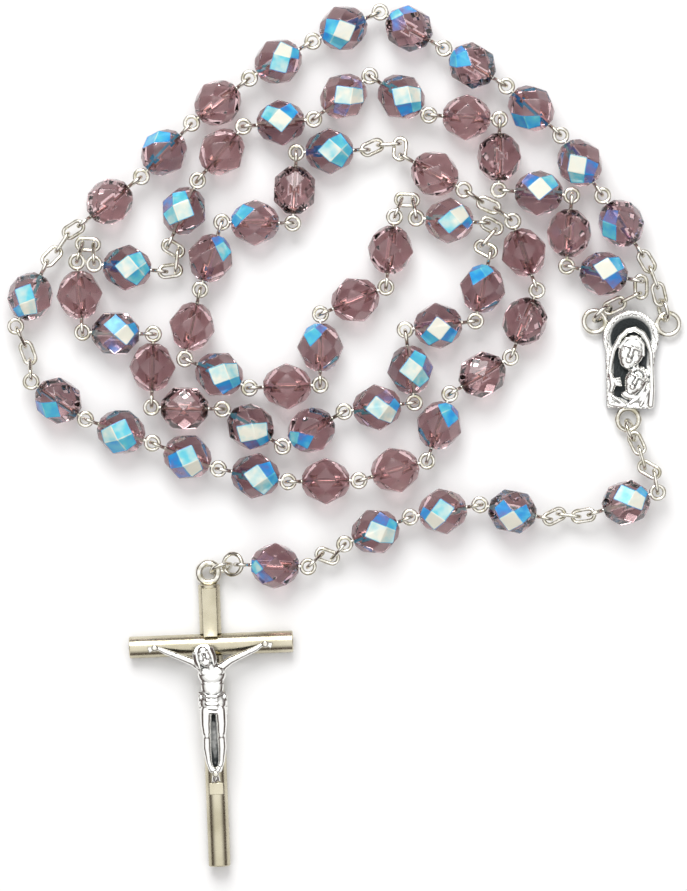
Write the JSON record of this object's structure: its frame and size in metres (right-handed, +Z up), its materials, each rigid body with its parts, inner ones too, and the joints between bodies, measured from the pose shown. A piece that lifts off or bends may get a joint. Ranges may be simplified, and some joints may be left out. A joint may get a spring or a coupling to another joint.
{
  "type": "rosary",
  "caption": "Rosary of faceted amethyst glass beads on eye pins and fine chain, with an arched centrepiece and a round-rod crucifix.",
  "frame": {"origin": "the middle of the underside of the box around the laid-out rosary, on the floor it lies on", "axes": "+Z up from the floor; +Y along the longest side, from the crucifix foot towards the far side of the loop; +X to the right, towards the centrepiece"},
  "size_m": [0.1079, 0.1382, 0.0075],
  "materials": {
    "glass": "fire-polished transparent amethyst glass with a thin iridescent coat on part of the facets",
    "wire": "bright silver-plated wire",
    "rod_nickel": "warm bright nickel, polished round rod",
    "cast_silver": "cast, antiqued silver: bright high places, black in the hollows"
  },
  "bodies": {
    "centrepiece": {"centrepiece_medal": "cast_silver"},
    "crucifix": {"cross_upright": "rod_nickel", "cross_bar": "rod_nickel", "cross_bail": "wire", "title_plate": "cast_silver", "corpus": "cast_silver", "foot_block": "cast_silver", "cross_nails": "wire"},
    "right_side_chain": {"right_side_chain": "wire"},
    "decade_1_first_five": {"decade_1_first_five_beads": "glass", "decade_1_first_five_eye_pins": "wire"},
    "decade_1_last_five": {"decade_1_last_five_beads": "glass", "decade_1_last_five_eye_pins": "wire"},
    "chain_before_our_father_1": {"chain_before_our_father_1": "wire"},
    "our_father_1": {"our_father_1_eye_pin": "wire"},
    "our_father_1_bead": {"our_father_1_bead": "glass"},
    "chain_after_our_father_1": {"chain_after_our_father_1": "wire"},
    "decade_2_first_five": {"decade_2_first_five_beads": "glass", "decade_2_first_five_eye_pins": "wire"},
    "decade_2_last_five": {"decade_2_last_five_beads": "glass", "decade_2_last_five_eye_pins": "wire"},
    "chain_before_our_father_2": {"chain_before_our_father_2": "wire"},
    "our_father_2": {"our_father_2_eye_pin": "wire"},
    "our_father_2_bead": {"our_father_2_bead": "glass"},
    "chain_after_our_father_2": {"chain_after_our_father_2": "wire"},
    "decade_3_first_five": {"decade_3_first_five_beads": "glass", "decade_3_first_five_eye_pins": "wire"},
    "decade_3_last_five": {"decade_3_last_five_beads": "glass", "decade_3_last_five_eye_pins": "wire"},
    "chain_before_our_father_3": {"chain_before_our_father_3": "wire"},
    "our_father_3": {"our_father_3_eye_pin": "wire"},
    "our_father_3_bead": {"our_father_3_bead": "glass"},
    "chain_after_our_father_3": {"chain_after_our_father_3": "wire"},
    "decade_4_first_five": {"decade_4_first_five_beads": "glass", "decade_4_first_five_eye_pins": "wire"},
    "decade_4_last_five": {"decade_4_last_five_beads": "glass", "decade_4_last_five_eye_pins": "wire"},
    "chain_before_our_father_4": {"chain_before_our_father_4": "wire"},
    "our_father_4": {"our_father_4_eye_pin": "wire"},
    "our_father_4_bead": {"our_father_4_bead": "glass"},
    "chain_after_our_father_4": {"chain_after_our_father_4": "wire"},
    "decade_5_first_five": {"decade_5_first_five_beads": "glass", "decade_5_first_five_eye_pins": "wire"},
    "decade_5_last_five": {"decade_5_last_five_beads": "glass", "decade_5_last_five_eye_pins": "wire"},
    "left_side_chain": {"left_side_chain": "wire"},
    "pendant_top_chain": {"pendant_top_chain": "wire"},
    "our_father_5": {"our_father_5_eye_pin": "wire"},
    "our_father_5_bead": {"our_father_5_bead": "glass"},
    "pendant_middle_chain": {"pendant_middle_chain": "wire"},
    "hail_mary_1": {"hail_mary_1_eye_pin": "wire"},
    "hail_mary_1_bead": {"hail_mary_1_bead": "glass"},
    "hail_mary_2": {"hail_mary_2_eye_pin": "wire"},
    "hail_mary_2_bead": {"hail_mary_2_bead": "glass"},
    "hail_mary_3": {"hail_mary_3_eye_pin": "wire"},
    "hail_mary_3_bead": {"hail_mary_3_bead": "glass"},
    "pendant_lower_chain": {"pendant_lower_chain": "wire"},
    "our_father_6": {"our_father_6_eye_pin": "wire"},
    "our_father_6_bead": {"our_father_6_bead": "glass"},
    "crucifix_rings": {"crucifix_rings": "wire"}
  },
  "joints": [
    {"name": "right_side_chain_hinge", "type": "hinge", "parent": "centrepiece", "child": "right_side_chain", "pos_m": [0.05237, 0.01896, 0.00163], "axis": [-1, -0.007, 0], "range_deg": [0, 14]},
    {"name": "decade_1_first_five_hinge", "type": "hinge", "parent": "right_side_chain", "child": "decade_1_first_five", "pos_m": [0.04854, 0.02907, 0.00375], "axis": [0.5562, 0.8137, 0.1689], "range_deg": [-4, 4]},
    {"name": "decade_1_last_five_hinge", "type": "hinge", "parent": "decade_1_first_five", "child": "decade_1_last_five", "pos_m": [0.00614, 0.06751, 0.00375], "axis": [0.5886, -0.8077, -0.0352], "range_deg": [-6, 6]},
    {"name": "chain_before_our_father_1_hinge", "type": "hinge", "parent": "decade_1_last_five", "child": "chain_before_our_father_1", "pos_m": [-0.04124, 0.03376, 0.00361], "axis": [-0.984, 0.1768, 0.0235], "range_deg": [-15, 15]},
    {"name": "our_father_1_hinge", "type": "hinge", "parent": "chain_before_our_father_1", "child": "our_father_1", "pos_m": [-0.04676, 0.0275, 0.00362], "axis": [0.995, -0.0971, -0.0224], "range_deg": [-15, 15]},
    {"name": "our_father_1_bead_spin", "type": "hinge", "parent": "our_father_1", "child": "our_father_1_bead", "pos_m": [-0.04934, 0.02221, 0.00375], "axis": [-0.438, -0.899, 0], "continuous": true},
    {"name": "chain_after_our_father_1_hinge", "type": "hinge", "parent": "our_father_1", "child": "chain_after_our_father_1", "pos_m": [-0.05141, 0.0169, 0.00375], "axis": [-0.9995, -0.0213, 0.0228], "range_deg": [-14, 14]},
    {"name": "decade_2_first_five_hinge", "type": "hinge", "parent": "chain_after_our_father_1", "child": "decade_2_first_five", "pos_m": [-0.04924, 0.0092, 0.00375], "axis": [-0.9941, -0.106, 0.0232], "range_deg": [-14, 14]},
    {"name": "decade_2_last_five_hinge", "type": "hinge", "parent": "decade_2_first_five", "child": "decade_2_last_five", "pos_m": [0.00362, -0.00714, 0.00375], "axis": [-0.8239, -0.5649, 0.0459], "range_deg": [-6, 6]},
    {"name": "chain_before_our_father_2_hinge", "type": "hinge", "parent": "decade_2_last_five", "child": "chain_before_our_father_2", "pos_m": [0.02741, 0.03463, 0.00375], "axis": [0.6655, -0.7397, -0.0994], "range_deg": [-10, 10]},
    {"name": "our_father_2_hinge", "type": "hinge", "parent": "chain_before_our_father_2", "child": "our_father_2", "pos_m": [0.02057, 0.03895, 0.00375], "axis": [0.7211, -0.689, -0.0727], "range_deg": [-10, 10]},
    {"name": "our_father_2_bead_spin", "type": "hinge", "parent": "our_father_2", "child": "our_father_2_bead", "pos_m": [0.01543, 0.04185, 0.00375], "axis": [-0.8745, 0.485, 0], "continuous": true},
    {"name": "chain_after_our_father_2_hinge", "type": "hinge", "parent": "our_father_2", "child": "chain_after_our_father_2", "pos_m": [0.01028, 0.0447, 0.0037], "axis": [-0.7704, 0.6356, 0.0507], "range_deg": [-10, 10]},
    {"name": "decade_3_first_five_hinge", "type": "hinge", "parent": "chain_after_our_father_2", "child": "decade_3_first_five", "pos_m": [0.00424, 0.04567, 0.00382], "axis": [-0.8117, 0.5822, 0.0476], "range_deg": [-4, 4]},
    {"name": "decade_3_last_five_hinge", "type": "hinge", "parent": "decade_3_first_five", "child": "decade_3_last_five", "pos_m": [-0.02425, 0.01209, 0.00375], "axis": [0.9942, 0.1026, -0.032], "range_deg": [-14, 14]},
    {"name": "chain_before_our_father_3_hinge", "type": "hinge", "parent": "decade_3_last_five", "child": "chain_before_our_father_3", "pos_m": [0.00913, 0.03533, 0.00375], "axis": [-0.8904, 0.4514, 0.0581], "range_deg": [-14, 14]},
    {"name": "our_father_3_hinge", "type": "hinge", "parent": "chain_before_our_father_3", "child": "our_father_3", "pos_m": [0.01237, 0.03515, 0.00375], "axis": [0.872, -0.4855, -0.0632], "range_deg": [-14, 14]},
    {"name": "our_father_3_bead_spin", "type": "hinge", "parent": "our_father_3", "child": "our_father_3_bead", "pos_m": [0.01773, 0.03438, 0.00375], "axis": [0.9977, -0.0681, 0], "continuous": true},
    {"name": "chain_after_our_father_3_hinge", "type": "hinge", "parent": "our_father_3", "child": "chain_after_our_father_3", "pos_m": [0.0234, 0.03399, 0.00362], "axis": [-0.7663, 0.637, 0.0839], "range_deg": [-10, 10]},
    {"name": "decade_4_first_five_hinge", "type": "hinge", "parent": "chain_after_our_father_3", "child": "decade_4_first_five", "pos_m": [0.02425, 0.02904, 0.00362], "axis": [0.8585, -0.5032, -0.0986], "range_deg": [-6, 6]},
    {"name": "decade_4_last_five_hinge", "type": "hinge", "parent": "decade_4_first_five", "child": "decade_4_last_five", "pos_m": [-0.00927, -0.0016, 0.00375], "axis": [-0.9269, -0.3733, 0.0386], "range_deg": [-10, 10]},
    {"name": "chain_before_our_father_4_hinge", "type": "hinge", "parent": "decade_4_last_five", "child": "chain_before_our_father_4", "pos_m": [-0.04176, 0.02818, 0.00375], "axis": [0.9935, -0.1108, -0.0252], "range_deg": [-14, 14]},
    {"name": "our_father_4_hinge", "type": "hinge", "parent": "chain_before_our_father_4", "child": "our_father_4", "pos_m": [-0.03912, 0.02784, 0.00375], "axis": [0.9936, -0.1103, -0.0261], "range_deg": [-15, 15]},
    {"name": "our_father_4_bead_spin", "type": "hinge", "parent": "our_father_4", "child": "our_father_4_bead", "pos_m": [-0.03383, 0.02684, 0.00375], "axis": [0.9946, -0.1036, 0], "continuous": true},
    {"name": "chain_after_our_father_4_hinge", "type": "hinge", "parent": "our_father_4", "child": "chain_after_our_father_4", "pos_m": [-0.02817, 0.02625, 0.00362], "axis": [0.9941, -0.105, -0.0283], "range_deg": [-15, 15]},
    {"name": "decade_5_first_five_hinge", "type": "hinge", "parent": "chain_after_our_father_4", "child": "decade_5_first_five", "pos_m": [-0.02707, 0.03073, 0.00364], "axis": [0.985, -0.17, -0.0287], "range_deg": [-15, 0]},
    {"name": "decade_5_last_five_hinge", "type": "hinge", "parent": "decade_5_first_five", "child": "decade_5_last_five", "pos_m": [0.01484, 0.05122, 0.00375], "axis": [-0.6364, 0.7697, 0.0504], "range_deg": [-10, 10]},
    {"name": "left_side_chain_hinge", "type": "hinge", "parent": "decade_5_last_five", "child": "left_side_chain", "pos_m": [0.04802, 0.02472, 0.00373], "axis": [-0.7204, -0.6528, -0.2342], "range_deg": [-4, 4]},
    {"name": "pendant_top_chain_hinge", "type": "hinge", "parent": "centrepiece", "child": "pendant_top_chain", "pos_m": [0.04691, 0.00082, 0.00197], "axis": [-0.9248, -0.3806, 0], "range_deg": [-25, 25]},
    {"name": "our_father_5_hinge", "type": "hinge", "parent": "pendant_top_chain", "child": "our_father_5", "pos_m": [0.05095, -0.00833, 0.00366], "axis": [0.9862, 0.1657, 0], "range_deg": [-25, 25]},
    {"name": "our_father_5_bead_spin", "type": "hinge", "parent": "our_father_5", "child": "our_father_5_bead", "pos_m": [0.04605, -0.01077, 0.00375], "axis": [-0.9511, -0.309, 0], "continuous": true},
    {"name": "pendant_middle_chain_hinge", "type": "hinge", "parent": "our_father_5", "child": "pendant_middle_chain", "pos_m": [0.04101, -0.01241, 0.00375], "axis": [-0.309, 0.9511, 0], "range_deg": [-25, 25]},
    {"name": "hail_mary_1_hinge", "type": "hinge", "parent": "pendant_middle_chain", "child": "hail_mary_1", "pos_m": [0.03303, -0.01322, 0.00375], "axis": [0.198, 0.9802, 0], "range_deg": [-25, 25]},
    {"name": "hail_mary_1_bead_spin", "type": "hinge", "parent": "hail_mary_1", "child": "hail_mary_1_bead", "pos_m": [0.02784, -0.01217, 0.00375], "axis": [-0.9802, 0.198, 0], "continuous": true},
    {"name": "hail_mary_2_hinge", "type": "hinge", "parent": "hail_mary_1", "child": "hail_mary_2", "pos_m": [0.02191, -0.01125, 0.00375], "axis": [0.1744, -0.9847, 0], "range_deg": [-25, 25]},
    {"name": "hail_mary_2_bead_spin", "type": "hinge", "parent": "hail_mary_2", "child": "hail_mary_2_bead", "pos_m": [0.0167, -0.01217, 0.00375], "axis": [-0.9847, -0.1744, 0], "continuous": true},
    {"name": "hail_mary_3_hinge", "type": "hinge", "parent": "hail_mary_2", "child": "hail_mary_3", "pos_m": [0.01079, -0.01338, 0.00375], "axis": [-0.3805, 0.9248, 0], "range_deg": [-25, 25]},
    {"name": "hail_mary_3_bead_spin", "type": "hinge", "parent": "hail_mary_3", "child": "hail_mary_3_bead", "pos_m": [0.00589, -0.0154, 0.00375], "axis": [-0.9248, -0.3805, 0], "continuous": true},
    {"name": "pendant_lower_chain_hinge", "type": "hinge", "parent": "hail_mary_3", "child": "pendant_lower_chain", "pos_m": [0.00046, -0.01803, 0.00375], "axis": [-0.7553, 0.6554, 0], "range_deg": [-25, 25]},
    {"name": "our_father_6_hinge", "type": "hinge", "parent": "pendant_lower_chain", "child": "our_father_6", "pos_m": [-0.00424, -0.02049, 0.00375], "axis": [-0.6737, 0.739, 0], "range_deg": [-25, 25]},
    {"name": "our_father_6_bead_spin", "type": "hinge", "parent": "our_father_6", "child": "our_father_6_bead", "pos_m": [-0.01015, -0.02087, 0.00375], "axis": [-0.9995, 0.0327, 0], "continuous": true},
    {"name": "crucifix_rings_hinge", "type": "hinge", "parent": "our_father_6", "child": "crucifix_rings", "pos_m": [-0.01545, -0.0207, 0.00375], "axis": [-0.0327, -0.9995, 0], "range_deg": [-25, 25]},
    {"name": "crucifix_hinge", "type": "hinge", "parent": "crucifix_rings", "child": "crucifix", "pos_m": [-0.02086, -0.02206, 0.00175], "axis": [0, 0, -1], "range_deg": [-25, 25]}
  ]
}
